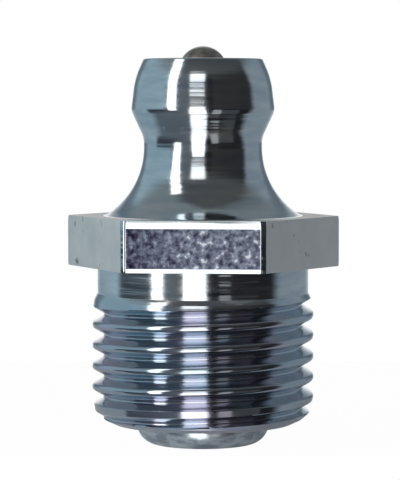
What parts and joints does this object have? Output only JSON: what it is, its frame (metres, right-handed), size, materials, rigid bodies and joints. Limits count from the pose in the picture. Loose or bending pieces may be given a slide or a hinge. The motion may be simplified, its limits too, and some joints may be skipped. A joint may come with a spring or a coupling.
{
  "type": "grease nipple",
  "caption": "Straight hydraulic grease nipple: a turned body with a straight thread, spanner hexagon and coupler head, and a sprung check ball in its mouth.",
  "frame": {"origin": "on the turning axis at the end of the tail, the lowest point when the nipple stands on its tail", "axes": "+Z along the turning axis, from the tail out through the coupler head; +X through a corner of the hexagon"},
  "size_m": [0.0124, 0.011, 0.0182],
  "materials": {
    "zinc_plated_steel": "bright bluish zinc plate over turned steel",
    "bearing_steel": "ground and polished, with a film of oil",
    "spring_steel": "plain drawn wire"
  },
  "bodies": {
    "body": {"nipple_body": "zinc_plated_steel", "ball_spring": "spring_steel"},
    "ball": {"check_ball": "bearing_steel"}
  },
  "joints": [
    {"name": "ball_lift", "type": "slide", "parent": "body", "child": "ball", "axis": [0, 0, -1], "range_m": [0, 0.001], "stiffness_N_per_m": 640, "deforming": ["ball_spring"]}
  ]
}
